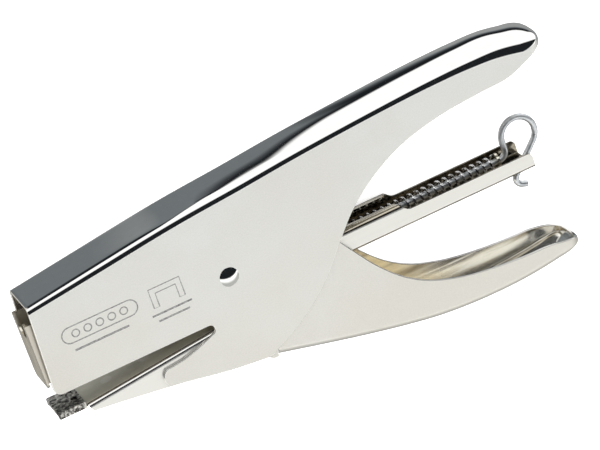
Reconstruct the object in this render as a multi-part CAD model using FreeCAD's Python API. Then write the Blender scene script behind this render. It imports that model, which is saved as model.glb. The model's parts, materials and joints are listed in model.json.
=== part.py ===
"""Plier stapler lying on its side, in millimetres.

X runs along the magazine from the jaw (-X) to the pull ring (+X), Y runs from the squeezed
handle to the spine of the upper shell, and Z is up through the two side plates.
Everything is drawn about the pivot rivet and moved at the end, so that the origin comes to
the middle of the footprint, with the outer face of the lower side plate at z = 0.
"""
import math
import os

import FreeCAD, Part

V = FreeCAD.Vector

# ---- driving dimensions -------------------------------------------------------------------
SHEET = 1.0                 # sheet of the shell, handle and anvil arm
SHELL_WIDTH = 20.0          # over the two side plates
MIDDLE = SHELL_WIDTH / 2    # plane of the blade, rod and ring
SPINE_BEND_FRONT = 2.0      # outer bend radius of the spine at the jaw
SPINE_BEND_REAR = 3.4       # and at the end of the handle
SPINE = ((112.5, 32.0), (104, 33.4), (94, 33.4), (80, 32.8), (57, 31.2), (33, 29.2),
         (13, 27.2), (-12, 24.8), (-36.5, 21.6), (-61.4, 18.2))   # from the handle's end to the jaw
SHELL_END = 118.4
END_ROUND = 7.0             # rounding of the handles' ends, seen from above the spine

HANDLE_GAP = 0.3            # between the shell's plates and the handle's
HANDLE_BEND = 2.5           # outer bend radius of the handle's floor at the pivot
HANDLE_BEND_TIP = 1.6       # and at the tip
FLOOR = ((7, -32.0), (26.1, -36.9), (36.9, -39.5), (47.9, -41.9), (59, -43.9), (70.5, -45.0),
         (82.2, -45.3), (91.1, -45.0), (100.3, -44.1), (107.0, -43.1))   # from the pivot to the tip
HANDLE_END = 111.4

PLATE_LOW = SHEET + HANDLE_GAP             # outer face of the handle's lower plate
PLATE_HIGH = SHELL_WIDTH - PLATE_LOW

PIVOT_RADIUS = 2.4          # shank of the rivet
PIVOT_BORE = 2.45           # holes that turn on it
DOME_RADIUS = 3.1
DOME_HEIGHT = 1.0

MAG_SHEET = 0.8
MAG_HALF = 7.3              # half of the magazine's outer width
MAG_FLOOR = -11.3           # underside of the magazine
MAG_LIP_TOP = -3.5          # outside of the lips that hold the staples down
MAG_REAR_TOP = -6.2         # edge of the open loading trough
MAG_FRONT = -60.0
MAG_REAR = 104.0
LIP_BEND = 1.6
LIP_REACH = 3.4             # how far each lip covers the channel
LIPS_END = 57.3             # rear end of the lips, start of the trough
LIP_ROUND = 2.6             # rounding of the lips' rear corners
NOSE_FRONT = -63.4          # front face of the nosepiece
NOSE_SHEET = 0.7
NOSE_LOW = -10.1
NOSE_TOP = 12.0
NOSE_NOTCH = 6.6            # bottom of its notch

BLADE_INNER = 59.1          # the blade follows a circle about the pivot
BLADE_OUTER = 59.6
BLADE_HALF = 6.3
BLADE_LOW = -4.2
BLADE_HIGH = 13.0

HAMMER_RIVETS = ((-54.0, 9.4), (-49.5, 8.6))
HAMMER_RIVET_RADIUS = 1.25
DRIVER_RIVETS = (MIDDLE - 3.0, MIDDLE + 3.0)
DRIVER_RIVET_RADIUS = 0.8
DRIVER_RIVET_LENGTH = 4.6   # from a millimetre ahead of the blade
DRIVER_RIVET_Y = 9.4
SPRING_PIN = (-24.0, 7.8)
PIN_RADIUS = 1.1

STAPLE_CROWN = 12.8
STAPLE_WIRE = 0.5
STAPLE_TOP = -4.6
STAPLE_LOW = -10.35
STRIP_FRONT = -57.6
STRIP_LENGTH = 10.9

ANVIL_TOP = -18.9
ANVIL_FRONT = -63.6
ARM_FRONT = -54.4
ARM_REAR = -6.5
ARM_BEND = 1.5
ANVIL_RIVETS = (-45.0, -32.0)
ANVIL_RIVET_RADIUS = 1.9

ROD_WIRE = 1.025            # radius of the rod and ring wire
ROD_AXIS = -7.2             # height of the rod in the magazine
RING_CENTRE = (103.8, -1.8)
RING_RADIUS = 5.7           # of the wire's centre line
ROD_FRONT = -50.0
ROD_BEND = 2.5
TAIL_HOOK = 2.2

PUSHER_FRONT = -46.5
PUSHER_LENGTH = 12.5
SHOE = 1.0
SPRING_REAR = 94.3
FEED_COIL = 2.2             # radius of the feed spring's coil centre line
FEED_WIRE = 0.42
FEED_TURNS = 52
FEED_RUNS = 4               # runs of its path

RETURN_COIL = 3.5
RETURN_WIRE = 0.45
RETURN_TURNS = 6


# ---- drawing helpers ----------------------------------------------------------------------
def line(a, b):
    return Part.LineSegment(V(*a, 0), V(*b, 0)).toShape()


def arc(a, through, b):
    return Part.Arc(V(*a, 0), V(*through, 0), V(*b, 0)).toShape()


def curve(*points):
    """One smooth edge through the points."""
    spline = Part.BSplineCurve()
    spline.interpolate([V(x, y, 0) for x, y in points])
    return spline.toShape()


def corners(*points):
    """Closed outline of straight runs; each point is (x, y) or (x, y, corner radius)."""
    edges = []
    first = last = None
    for i, point in enumerate(points):
        here = V(point[0], point[1], 0)
        radius = point[2] if len(point) == 3 else 0
        before = V(*points[i - 1][:2], 0) - here
        after = V(*points[(i + 1) % len(points)][:2], 0) - here
        if radius:
            half = before.getAngle(after) / 2
            reach = radius / math.tan(half)
            start = here + before.normalize() * reach
            end = here + after.normalize() * reach
            middle = here + (before + after).normalize() * (radius / math.sin(half) - radius)
            bend = [Part.Arc(start, middle, end).toShape()]
        else:
            start = end = here
            bend = []
        if last is not None:
            edges.append(Part.LineSegment(last, start).toShape())
        edges += bend
        first = first or start
        last = end
    edges.append(Part.LineSegment(last, first).toShape())
    return edges


def slab(edges, low, high):
    """The outline made solid between two heights."""
    face = Part.Face(Part.Wire(Part.__sortEdges__(edges)))
    solid = face.extrude(V(0, 0, high - low))
    solid.translate(V(0, 0, low))
    return solid


def box(low, high):
    solid = Part.makeBox(*(b - a for a, b in zip(low, high)))
    solid.translate(V(*low))
    return solid


def post(x, y, low, high, radius):
    """Cylinder along Z."""
    return Part.makeCylinder(radius, high - low, V(x, y, low))


def bar(x0, x1, y, radius):
    """Cylinder along X in the middle plane."""
    return Part.makeCylinder(radius, x1 - x0, V(x0, y, MIDDLE), V(1, 0, 0))


def edges_on(solid, outline, heights):
    """Edges of the solid that lie over the given outline edges at the given heights."""
    found = []
    for edge in solid.Edges:
        low, high = edge.BoundBox.ZMin, edge.BoundBox.ZMax
        if high - low > 1e-6 or min(abs(low - z) for z in heights) > 1e-6:
            continue
        middle = edge.valueAt((edge.FirstParameter + edge.LastParameter) / 2)
        flat = Part.Vertex(V(middle.x, middle.y, 0))
        if min(piece.distToShape(flat)[0] for piece in outline) < 1e-4:
            found.append(edge)
    return found


def inset(points, distance):
    """The same open run of points moved to its left-hand side by a distance."""
    moved = []
    for i, (x, y) in enumerate(points):
        x0, y0 = points[max(i - 1, 0)]
        x1, y1 = points[min(i + 1, len(points) - 1)]
        length = math.hypot(x1 - x0, y1 - y0)
        moved.append((x - (y1 - y0) / length * distance, y + (x1 - x0) / length * distance))
    return moved


def coil(radius, wire, pitch, turns, runs=1):
    """Round-wire coil along +Z from the origin; its path is cut into equal runs of whole turns."""
    length = pitch * turns / runs
    path = []
    for i in range(runs):
        path += Part.makeHelix(pitch, length, radius).translated(V(0, 0, i * length)).Edges
    square = V(0, 1, pitch / (2 * math.pi * radius))
    ring = Part.Wire(Part.makeCircle(wire, V(radius, 0, 0), square))
    return Part.Wire(path).makePipeShell([ring], True, True)


def round_wire(path, radius):
    """Round wire along a flat path that starts along +X."""
    start = path[0].Vertexes[0].Point
    ring = Part.Wire(Part.makeCircle(radius, start, V(1, 0, 0)))
    return Part.Wire(path).makePipeShell([ring], True, False)


# ---- upper shell --------------------------------------------------------------------------
def upper_shell():
    spine = [curve(*SPINE)]
    tip = [arc(SPINE[0], (SHELL_END, 27.8), (112.6, 24.6))]
    jaw = [line((-61.4, 18.2), (-62.6, -9.3)),
           arc((-62.6, -9.3), (-61.9, -11.3), (-59.6, -12.1)),
           line((-59.6, -12.1), (-11.2, -12.1)),
           arc((-11.2, -12.1), (-9.7, -13.7), (-10.8, -15.1))]
    tongue = [curve((-10.8, -15.1), (-16, -17.0), (-22, -18.7), (-28.3, -19.4)),
              arc((-28.3, -19.4), (-29.8, -21.8), (-29.2, -24.8)),
              curve((-29.2, -24.8), (-6.6, -29.2), (3.6, -30.4)),
              arc((3.6, -30.4), (4.9, -30.3), (5.8, -29.6))]
    grip = [curve((5.8, -29.6), (16, -24.3), (24, -18.6), (30.5, -12.3), (36.2, -5.2),
                  (43.4, 2.9), (52.2, 9.8), (63.8, 15.6), (78.9, 19.3), (93.2, 20.6),
                  (104, 21.4), (112.6, 24.6))]
    outer = slab(spine + tip + jaw + tongue + grip, 0, SHELL_WIDTH)
    outer = bend(outer, spine, (0, SHELL_WIDTH), SPINE_BEND_REAR, SPINE_BEND_FRONT)
    outer = outer.common(rounded_end(SHELL_END, 0, SHELL_WIDTH, END_ROUND))
    inside = inset(SPINE, SHEET)
    inner_spine = [curve(*inside)]
    hollow = inner_spine + [
        line(inside[-1], (-75, 15.4)), line((-75, 15.4), (-75, -60)), line((-75, -60), (111, -60)),
        line((111, -60), (112.2, 25.5)), arc((112.2, 25.5), (SHELL_END - SHEET, 27.8), inside[0])]
    low, high = SHEET, SHELL_WIDTH - SHEET
    hollow = slab(hollow, low, high)
    hollow = bend(hollow, inner_spine, (low, high), SPINE_BEND_REAR - SHEET, SPINE_BEND_FRONT - SHEET)
    hollow = hollow.common(rounded_end(SHELL_END - SHEET, low, high, END_ROUND - SHEET))
    bore = post(0, 0, -1, SHELL_WIDTH + 1, PIVOT_BORE)
    return outer.cut(hollow).cut(bore)


def rounded_end(x_end, low, high, radius):
    """Everything up to x_end between two heights, with the two corners at x_end rounded."""
    outline = corners((-90, -high), (x_end, -high, radius), (x_end, -low, radius), (-90, -low))
    prism = slab(outline, -60, 60)
    prism.rotate(V(0, 0, 0), V(1, 0, 0), -90)
    return prism


def bend(solid, outline, heights, rear, front):
    """Rounds the long edges over the outline from the rear radius to the front one."""
    for height in heights:
        edge = edges_on(solid, outline, [height])[0]
        starts_at_rear = edge.valueAt(edge.FirstParameter).x > 0
        first, last = (rear, front) if starts_at_rear else (front, rear)
        solid = solid.makeFillet(first, last, [edge])
    return solid


# ---- anvil arm ----------------------------------------------------------------------------
def web_top(x):
    """Height of the arm's top web at x."""
    return -19.3 + (x - ARM_FRONT) * 0.1


def anvil_arm():
    top = [line((ARM_REAR, web_top(ARM_REAR)), (ARM_FRONT, web_top(ARM_FRONT)))]
    sides = [line((ARM_FRONT, web_top(ARM_FRONT)), (-53.2, -22.0)),
             curve((-53.2, -22.0), (-38.6, -24.0), (-29, -25.5), (ARM_REAR, -28.9)),
             line((ARM_REAR, -28.9), (ARM_REAR, web_top(ARM_REAR)))]
    outer = slab(top + sides, SHEET, SHELL_WIDTH - SHEET)
    outer = outer.makeFillet(ARM_BEND, edges_on(outer, top, (SHEET, SHELL_WIDTH - SHEET)))
    under = [(ARM_REAR + 5, web_top(ARM_REAR + 5) - SHEET), (-70, web_top(-70) - SHEET),
             (-70, -50), (ARM_REAR + 5, -50)]
    hollow = slab(corners(*under), 2 * SHEET, SHELL_WIDTH - 2 * SHEET)
    rounded = [line(under[0], under[1])]
    heights = (2 * SHEET, SHELL_WIDTH - 2 * SHEET)
    hollow = hollow.makeFillet(ARM_BEND - SHEET, edges_on(hollow, rounded, heights))
    arm = outer.cut(hollow)
    for x in ANVIL_RIVETS:
        arm = arm.cut(anvil_rivet(x, ANVIL_RIVET_RADIUS + 0.02))
    return arm


def anvil_rivet(x, radius=ANVIL_RIVET_RADIUS):
    """Flush rivet through the arm's web and the anvil's tail, square to the web."""
    square = V(-0.1, 1, 0).normalize()
    foot = V(x, web_top(x), MIDDLE) - square * 2.0
    return Part.makeCylinder(radius, 2.0, foot, square)


def anvil_rivets():
    return Part.makeCompound([anvil_rivet(x) for x in ANVIL_RIVETS])


def anvil():
    """Forming plate with short flanges, and a tail riveted under the arm's web."""
    half, plate, flange = 7.0, 1.2, 1.0
    low, high = MIDDLE - half, MIDDLE + half
    body = box((ANVIL_FRONT, -21.0, low), (ARM_FRONT - 0.05, ANVIL_TOP, high))
    hollow = box((ANVIL_FRONT - 1, -30, low + flange), (0, ANVIL_TOP - plate, high - flange))
    body = body.cut(hollow)
    front_edges = [e for e in body.Edges if abs(e.BoundBox.XMax - ANVIL_FRONT) < 1e-6
                   and abs(e.Length - (ANVIL_TOP + 21.0)) < 1e-6]
    body = body.makeFillet(0.8, front_edges)
    step = ARM_FRONT - 0.05
    tail = corners((-27.5, web_top(-27.5) - SHEET), (step, web_top(step) - SHEET),
                   (step, ANVIL_TOP - 0.6), (-60, ANVIL_TOP - 0.6), (-58, web_top(-58) - 2 * SHEET),
                   (-27.5, web_top(-27.5) - 2 * SHEET))
    body = body.fuse(slab(tail, low + 1.5, high - 1.5)).removeSplitter()
    for side in (-1, 1):
        middle = MIDDLE + side * 3.3
        groove = box((-57.6, ANVIL_TOP - 0.5, middle - 2.9), (-55.6, ANVIL_TOP + 1, middle + 2.9))
        body = body.cut(groove)
    for x in ANVIL_RIVETS:
        body = body.cut(anvil_rivet(x, ANVIL_RIVET_RADIUS + 0.02))
    return body


# ---- pivot --------------------------------------------------------------------------------
def pivot_rivet():
    """Shank flush with the lower plate, with a domed head on the upper one."""
    ball = (DOME_RADIUS ** 2 + DOME_HEIGHT ** 2) / (2 * DOME_HEIGHT)
    dome = Part.makeSphere(ball, V(0, 0, SHELL_WIDTH + DOME_HEIGHT - ball))
    above = box((-9, -9, SHELL_WIDTH), (9, 9, SHELL_WIDTH + 2))
    return post(0, 0, 0, SHELL_WIDTH + 0.2, PIVOT_RADIUS).fuse(dome.common(above)).removeSplitter()


def tube(low, high, inner, outer):
    return post(0, 0, low, high, outer).cut(post(0, 0, low - 1, high + 1, inner))


def pivot_sleeve():
    room = MIDDLE - MAG_HALF + MAG_SHEET + 0.05
    return tube(room, SHELL_WIDTH - room, PIVOT_BORE, 2.9)


def pivot_washers():
    play = 0.02
    thick = HANDLE_GAP - 2 * play
    low = SHEET + play
    lower = tube(low, low + thick, PIVOT_BORE, 6.0)
    upper = tube(SHELL_WIDTH - low - thick, SHELL_WIDTH - low, PIVOT_BORE, 6.0)
    return Part.makeCompound([lower, upper])


def return_spring():
    """Torsion spring on the sleeve: one leg lifts the hammer, the other bears on the spine."""
    pitch = 1.05
    low = MIDDLE - RETURN_TURNS * pitch / 2
    turns = coil(RETURN_COIL, RETURN_WIRE, pitch, RETURN_TURNS)
    turns.rotate(V(0, 0, 0), V(0, 0, 1), 90)
    turns.translate(V(0, 0, low))
    front = leg(V(0, RETURN_COIL, low), V(-24, 6.2, low))
    high = SHELL_WIDTH - low
    rear = leg(V(0, RETURN_COIL, high), V(27, 26.6, high))
    return turns.fuse(front).fuse(rear)


def leg(start, end):
    """Straight spring leg with a round elbow where it leaves the coil."""
    straight = Part.makeCylinder(RETURN_WIRE, (end - start).Length, start, end - start)
    return straight.fuse(Part.makeSphere(RETURN_WIRE * 1.02, start))


# ---- lower handle -------------------------------------------------------------------------
def lower_handle():
    low, high = PLATE_LOW, PLATE_HIGH
    floor = [curve(*FLOOR)]
    tip = [arc(FLOOR[-1], (HANDLE_END, -41.0), (107.6, -39.0))]
    rim = [curve((107.6, -39.0), (100.8, -37.4), (93.1, -37.1), (82.2, -36.2), (67.7, -33.5),
                 (59.3, -30.4), (52.6, -26.0), (46.1, -19.4), (39.5, -10.2), (33.5, -1.0))]
    hub = [curve((33.5, -1.0), (26, 7), (12, 13.5), (-4, 16.0), (-20, 16.2)),
           line((-20, 16.2), (-58.0, 13.6)), line((-58.0, 13.6), (-58.0, 4.6)),
           line((-58.0, 4.6), (-20, -5.4)),
           curve((-20, -5.4), (-9.5, -8.6), (-3, -14), (0.5, -22), (3.0, -30.4)),
           arc((3.0, -30.4), (4.4, -31.8), (7, -32.0))]
    outer = slab(floor + tip + rim + hub, low, high)
    outer = bend(outer, floor, (low, high), HANDLE_BEND_TIP, HANDLE_BEND)
    outer = outer.common(rounded_end(HANDLE_END, low, high, END_ROUND))
    inside = inset(FLOOR, SHEET)
    inner_floor = [curve(*inside)]
    hollow = inner_floor + [
        line(inside[0], (7, -50)), line((7, -50), (-80, -50)), line((-80, -50), (-80, 40)),
        line((-80, 40), (107.2, 40)), line((107.2, 40), (107.2, -39.9)),
        arc((107.2, -39.9), (HANDLE_END - SHEET, -41.1), inside[-1])]
    low, high = low + SHEET, high - SHEET
    hollow = slab(hollow, low, high)
    hollow = bend(hollow, inner_floor, (low, high), HANDLE_BEND_TIP - SHEET, HANDLE_BEND - SHEET)
    hollow = hollow.common(rounded_end(HANDLE_END - SHEET, low, high, END_ROUND - SHEET))
    handle = outer.cut(hollow).cut(post(0, 0, -1, SHELL_WIDTH + 1, PIVOT_BORE))
    for x, y in HAMMER_RIVETS:
        handle = handle.cut(post(x, y, 0, SHELL_WIDTH, HAMMER_RIVET_RADIUS + 0.02))
    return handle.cut(post(*SPRING_PIN, 0, SHELL_WIDTH, PIN_RADIUS + 0.02))


# ---- hammer and driver --------------------------------------------------------------------
def hammer_block():
    """Block between the front arms; its front is turned to the blade's circle."""
    low, high = PLATE_LOW + SHEET, PLATE_HIGH - SHEET
    wide = slab(corners((-56, 5), (-47, 4.2, 1), (-47, 12.4, 1), (-56, 12.8)), low, high)
    nose = box((-60, 5, MIDDLE - 6), (-55, 12.8, MIDDLE + 6))
    body = wide.fuse(nose).common(post(0, 0, 0, SHELL_WIDTH, BLADE_INNER))
    body = body.removeSplitter()
    for x, y in HAMMER_RIVETS:
        body = body.cut(post(x, y, 0, SHELL_WIDTH, HAMMER_RIVET_RADIUS + 0.02))
    for height in DRIVER_RIVETS:
        body = body.cut(driver_rivet(height, 0.02))
    return body.cut(leaf_rivet(0.02))


def hammer_rivets():
    """Rivets through both arms and the block, flush with the arms."""
    shafts = [post(x, y, PLATE_LOW, PLATE_HIGH, HAMMER_RIVET_RADIUS) for x, y in HAMMER_RIVETS]
    return Part.makeCompound(shafts)


def driver_rivet(height, play=0.0):
    """Rivet that holds the blade to the block."""
    start = V(-BLADE_OUTER - 1, DRIVER_RIVET_Y, height)
    return Part.makeCylinder(DRIVER_RIVET_RADIUS + play, DRIVER_RIVET_LENGTH, start, V(1, 0, 0))


def driver_rivets():
    """The rivets, flush with the front of the blade."""
    circle = post(0, 0, 0, SHELL_WIDTH, BLADE_OUTER)
    return Part.makeCompound([driver_rivet(height).common(circle) for height in DRIVER_RIVETS])


def driver_blade():
    """Blade as wide as a staple, curved about the pivot so that it follows its own path."""
    ring = tube(MIDDLE - BLADE_HALF, MIDDLE + BLADE_HALF, BLADE_INNER, BLADE_OUTER)
    window = box((-70, BLADE_LOW, 0), (0, BLADE_HIGH, SHELL_WIDTH))
    blade = ring.common(window)
    for height in DRIVER_RIVETS:
        blade = blade.cut(driver_rivet(height, 0.02))
    return blade


def spring_pin():
    return post(*SPRING_PIN, PLATE_LOW, PLATE_HIGH, PIN_RADIUS)


def magazine_leaf():
    """Leaf under the hammer block that presses the magazine down ahead of the blade."""
    thick = 0.4
    path = [(-55.5, 4.8), (-52, 4.45), (-48, 3.8), (-41, 1.2), (-31, -2.6), (-27, -2.9),
            (-23.5, -1.6)]
    upper = curve(*path)
    lower = curve(*[(x, y - thick) for x, y in path])
    ends = [line(path[0], (path[0][0], path[0][1] - thick)),
            line(path[-1], (path[-1][0], path[-1][1] - thick))]
    return slab([upper, lower] + ends, MIDDLE - 5, MIDDLE + 5).cut(leaf_rivet(0.02))


def leaf_rivet(play=0.0):
    """Rivet that holds the leaf to the underside of the block."""
    shank = Part.makeCylinder(0.9 + play, 4.0, V(-53, 3.6, MIDDLE), V(0, 1, 0))
    if play:
        return shank
    head = Part.makeCylinder(1.6, 0.3, V(-53, 3.6, MIDDLE), V(0, 1, 0))
    return shank.fuse(head).removeSplitter()


# ---- magazine -----------------------------------------------------------------------------
def magazine_section():
    """Channel section with turned-in lips, drawn as (z, y), as one closed face."""
    out, lip = MAG_HALF, MAG_HALF - LIP_REACH
    inner, top, under = out - MAG_SHEET, MAG_LIP_TOP, MAG_LIP_TOP - MAG_SHEET
    floor, foot = MAG_FLOOR, MAG_FLOOR + MAG_SHEET
    outer_bend, inner_bend = LIP_BEND, LIP_BEND - MAG_SHEET
    foot_outer, foot_inner = 1.2, 0.4
    outline = corners(
        (-lip, under), (-lip, top), (-out, top, outer_bend), (-out, floor, foot_outer),
        (out, floor, foot_outer), (out, top, outer_bend), (lip, top), (lip, under),
        (inner, under, inner_bend), (inner, foot, foot_inner),
        (-inner, foot, foot_inner), (-inner, under, inner_bend))
    return outline


def along_x(outline, x0, x1):
    """Solid of a (z, y) section about the middle plane, between two places along X."""
    solid = slab(outline, 0, x1 - x0)
    solid.rotate(V(0, 0, 0), V(0, 1, 0), 90)
    solid.translate(V(x0, 0, MIDDLE))
    return solid


def lip_corner(direction):
    """What is cut from the rear corner of one lip to round it."""
    edge = MIDDLE + direction * (MAG_HALF - LIP_REACH)
    centre = edge + direction * LIP_ROUND
    x = LIPS_END + 1 - LIP_ROUND
    under = MAG_LIP_TOP - LIP_BEND
    corner = box((x, under, min(edge - direction, centre)), (x + 9, 0, max(edge - direction, centre)))
    return corner.cut(Part.makeCylinder(LIP_ROUND, 9, V(x, under - 1, centre), V(0, 1, 0)))


def magazine_channel():
    channel = along_x(magazine_section(), MAG_FRONT, MAG_REAR)
    side = corners((MAG_FRONT - 1, MAG_FLOOR - 1), (MAG_REAR, MAG_FLOOR - 1),
                   (MAG_REAR, MAG_REAR_TOP, 1.6), (LIPS_END + 3.5, MAG_REAR_TOP, 3),
                   (LIPS_END, MAG_LIP_TOP + 0.5, 1), (MAG_FRONT - 1, MAG_LIP_TOP + 0.5))
    channel = channel.common(slab(side, 0, SHELL_WIDTH))
    for direction in (-1, 1):
        channel = channel.cut(lip_corner(direction))
    low, high = MIDDLE - MAG_HALF, MIDDLE + MAG_HALF
    gap = box((-6.7, -8, low + MAG_SHEET), (6.7, 10, high - MAG_SHEET))
    lips = box((-6.7, MAG_LIP_TOP - LIP_BEND, 0), (6.7, 0, SHELL_WIDTH))
    channel = channel.cut(gap).cut(lips)
    ear = corners((-6.5, -8), (6.5, -8), (6.5, 5.5, 6.2), (-6.5, 5.5, 6.2))
    for z in (low, high - MAG_SHEET):
        channel = channel.fuse(slab(ear, z, z + MAG_SHEET))
    channel = channel.removeSplitter()
    blade_path = box((MAG_FRONT - 1, -30, low + MAG_SHEET), (STRIP_FRONT - 0.1, 0, high - MAG_SHEET))
    tail_slot = box((99.6, -30, MIDDLE - 1.5), (MAG_REAR + 1, MAG_REAR_TOP, MIDDLE + 1.5))
    bore = post(0, 0, 0, SHELL_WIDTH, PIVOT_BORE)
    return channel.cut(blade_path).cut(tail_slot).cut(bore)


def nosepiece():
    """Front plate of the magazine with side guides for the blade and a notch at the top."""
    corner, notch_half = 2.0, 4.6
    low, high = MIDDLE - MAG_HALF, MIDDLE + MAG_HALF
    outline = corners((-MAG_HALF, NOSE_LOW, corner), (MAG_HALF, NOSE_LOW, corner),
                      (MAG_HALF, NOSE_TOP), (-MAG_HALF, NOSE_TOP))
    plate = along_x(outline, NOSE_FRONT, NOSE_FRONT + NOSE_SHEET)
    guides = box((NOSE_FRONT + NOSE_SHEET, NOSE_LOW + corner, low), (MAG_FRONT, NOSE_TOP, high))
    guides = guides.fuse(box((MAG_FRONT, MAG_LIP_TOP, low), (MAG_FRONT + 1.8, NOSE_TOP, high)))
    guides = guides.cut(box((-70, -20, low + MAG_SHEET), (0, 20, high - MAG_SHEET)))
    notch = box((NOSE_FRONT - 1, NOSE_NOTCH, MIDDLE - notch_half),
                (MAG_FRONT, NOSE_TOP + 5, MIDDLE + notch_half))
    rounds = [e for e in notch.Edges if abs(e.BoundBox.YMax - NOSE_NOTCH) < 1e-6 and e.Length < 7]
    notch = notch.makeFillet(2.5, rounds)
    return plate.fuse(guides).removeSplitter().cut(notch)


def staple_strip():
    """Glued strip of staples, with a shallow groove between neighbours."""
    half, inner = STAPLE_CROWN / 2, STAPLE_CROWN / 2 - STAPLE_WIRE
    under = STAPLE_TOP - STAPLE_WIRE
    outline = corners((-half, STAPLE_LOW), (-half, STAPLE_TOP, 0.8), (half, STAPLE_TOP, 0.8),
                      (half, STAPLE_LOW), (inner, STAPLE_LOW), (inner, under, 0.3),
                      (-inner, under, 0.3), (-inner, STAPLE_LOW))
    return along_x(outline, STRIP_FRONT, STRIP_FRONT + STRIP_LENGTH)


# ---- pull rod, pusher and feed spring -----------------------------------------------------
def on_ring(degrees, radius=RING_RADIUS, centre=RING_CENTRE):
    angle = math.radians(degrees)
    return (centre[0] + radius * math.cos(angle), centre[1] + radius * math.sin(angle))


def pull_rod():
    """Rod, ring and tail from one wire in the middle plane."""
    neck = (RING_CENTRE[0] - RING_RADIUS, ROD_AXIS + ROD_BEND)
    turn = (neck[0] - ROD_BEND, ROD_AXIS)
    elbow = (neck[0] - ROD_BEND, neck[1])
    leave = on_ring(-45)
    down = (leave[0] - 8.5, leave[1] - 8.5)
    hook = (down[0] + TAIL_HOOK * math.sqrt(0.5), down[1] - TAIL_HOOK * math.sqrt(0.5))
    hook_end = on_ring(250, TAIL_HOOK, hook)
    end = (hook_end[0] + 1.8 * math.cos(math.radians(-20)),
           hook_end[1] + 1.8 * math.sin(math.radians(-20)))
    path = [line((ROD_FRONT, ROD_AXIS), turn),
            arc(turn, on_ring(-45, ROD_BEND, elbow), neck),
            line(neck, on_ring(180)),
            arc(on_ring(180), on_ring(67.5), leave),
            line(leave, down),
            arc(down, on_ring(190, TAIL_HOOK, hook), hook_end),
            line(hook_end, end)]
    rod = round_wire(path, ROD_WIRE)
    rod.translate(V(0, 0, MIDDLE))
    return rod


def rod_collar():
    collar = bar(ROD_FRONT, ROD_FRONT + 2, ROD_AXIS, 1.9)
    return collar.cut(bar(ROD_FRONT - 1, ROD_FRONT + 3, ROD_AXIS, ROD_WIRE + 0.01))


def spring_seat():
    seat = bar(SPRING_REAR, SPRING_REAR + 0.8, ROD_AXIS, FEED_COIL + FEED_WIRE)
    return seat.cut(bar(SPRING_REAR - 1, SPRING_REAR + 2, ROD_AXIS, ROD_WIRE + 0.01))


def pusher_section():
    half = STAPLE_CROWN / 2 - 0.1
    top = STAPLE_TOP - 0.1
    return corners((-half, STAPLE_LOW), (-half, top, 0.8), (half, top, 0.8), (half, STAPLE_LOW))


def pusher_shoe():
    shoe = along_x(pusher_section(), PUSHER_FRONT, PUSHER_FRONT + SHOE)
    return shoe.cut(bar(PUSHER_FRONT - 1, PUSHER_FRONT + 3, ROD_AXIS, ROD_WIRE + 0.08))


def pusher_block():
    rear = PUSHER_FRONT + PUSHER_LENGTH
    block = along_x(pusher_section(), PUSHER_FRONT + SHOE, rear)
    return block.cut(bar(PUSHER_FRONT - 1, rear + 1, ROD_AXIS, ROD_WIRE + 0.08))


def feed_spring():
    start = PUSHER_FRONT + PUSHER_LENGTH + FEED_WIRE + 0.02
    length = SPRING_REAR - FEED_WIRE - 0.02 - start
    spring = coil(FEED_COIL, FEED_WIRE, length / FEED_TURNS, FEED_TURNS, FEED_RUNS)
    spring.rotate(V(0, 0, 0), V(0, 1, 0), 90)
    spring.translate(V(start, ROD_AXIS, MIDDLE))
    return spring


PIECES = (upper_shell, anvil_arm, anvil, anvil_rivets, pivot_rivet, pivot_sleeve,
          pivot_washers, return_spring, lower_handle, hammer_block, hammer_rivets,
          driver_blade, driver_rivets, spring_pin, magazine_leaf, leaf_rivet, magazine_channel,
          nosepiece, staple_strip, pull_rod, rod_collar, spring_seat, feed_spring,
          pusher_shoe, pusher_block)


def main():
    os.makedirs("parts", exist_ok=True)
    shapes = {make.__name__: make() for make in PIECES}
    whole = FreeCAD.BoundBox()
    for shape in shapes.values():
        whole.add(shape.optimalBoundingBox(True, False))
    shift = V(-(whole.XMin + whole.XMax) / 2, -(whole.YMin + whole.YMax) / 2, -whole.ZMin)
    for name, shape in shapes.items():
        shape.translate(shift)
        shape.exportStep(os.path.join("parts", name + ".step"))
        print(f"{name:18} {shape.Volume:10.1f} mm3  valid {shape.isValid()}  solids {len(shape.Solids)}")
    print(f"size {whole.XLength:.2f} x {whole.YLength:.2f} x {whole.ZLength:.2f}")
    print(f"pivot at {shift.x:.4f}, {shift.y:.4f}; lowest {whole.ZMin:.4f}")


main()
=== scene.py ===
import json
import math

import bmesh
import bpy
from mathutils import Matrix, Vector


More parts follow.
